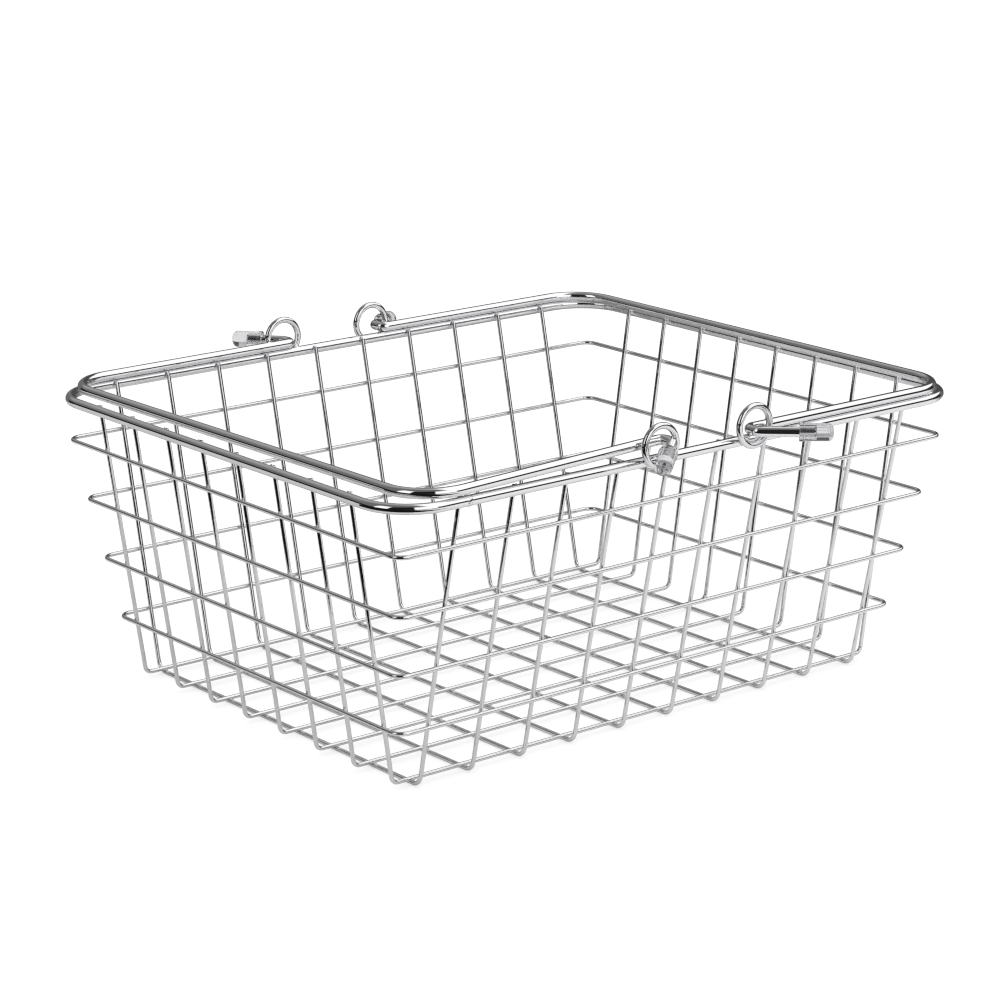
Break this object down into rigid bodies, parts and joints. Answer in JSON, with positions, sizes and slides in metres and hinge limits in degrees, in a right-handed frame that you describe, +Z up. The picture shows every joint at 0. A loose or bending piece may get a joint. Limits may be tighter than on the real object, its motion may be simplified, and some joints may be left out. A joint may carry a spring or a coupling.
{
  "type": "shopping basket",
  "caption": "Chromed wire hand basket with a tapered open-top rectangular body, heavy rod rim and two fold-up bail handles hooked through eyelets, with clear caps on the rod ends.",
  "frame": {"origin": "centre of the basket on the plane it rests on, under the floor's cross wires", "axes": "+Z up out of the open top; X along the basket's long side with the left handle's folded grip at -X; Y along the short side, front at -Y"},
  "size_m": [0.4228, 0.414, 0.1934],
  "materials": {
    "chromed_wire": "bright chrome plate on thin drawn steel wire, with small resistance-weld nuggets at the crossings",
    "chromed_rod": "bright mirror-like chrome plate on heavy steel rod",
    "clear_vinyl": "clear, slightly grey soft vinyl, glossy, dipped-cap shape"
  },
  "bodies": {
    "basket": {"cross_wire_01": "chromed_wire", "cross_wire_02": "chromed_wire", "cross_wire_03": "chromed_wire", "cross_wire_04": "chromed_wire", "cross_wire_05": "chromed_wire", "cross_wire_06": "chromed_wire", "cross_wire_07": "chromed_wire", "cross_wire_08": "chromed_wire", "cross_wire_09": "chromed_wire", "cross_wire_10": "chromed_wire", "eyelet_back_left": "chromed_wire", "eyelet_back_right": "chromed_wire", "eyelet_front_left": "chromed_wire", "eyelet_front_right": "chromed_wire", "hoop_1": "chromed_wire", "hoop_2": "chromed_wire", "hoop_3": "chromed_wire", "hoop_4": "chromed_wire", "long_wire_01": "chromed_wire", "long_wire_02": "chromed_wire", "long_wire_03": "chromed_wire", "long_wire_04": "chromed_wire", "long_wire_05": "chromed_wire", "long_wire_06": "chromed_wire", "long_wire_07": "chromed_wire", "long_wire_08": "chromed_wire", "rim": "chromed_rod"},
    "left_handle_body": {"left_handle": "chromed_rod", "end_cap_front_left": "clear_vinyl", "end_cap_back_left": "clear_vinyl"},
    "right_handle_body": {"right_handle": "chromed_rod", "end_cap_front_right": "clear_vinyl", "end_cap_back_right": "clear_vinyl"}
  },
  "joints": [
    {"name": "left_handle_hinge", "type": "hinge", "parent": "basket", "child": "left_handle_body", "pos_m": [-0.0305, 0, 0.17968], "axis": [-0.02, 0.9997, -0.0132], "range_deg": [0, 100]},
    {"name": "right_handle_hinge", "type": "hinge", "parent": "basket", "child": "right_handle_body", "pos_m": [0.0369, 0, 0.17736], "axis": [0, -1, 0], "range_deg": [0, 100]}
  ]
}
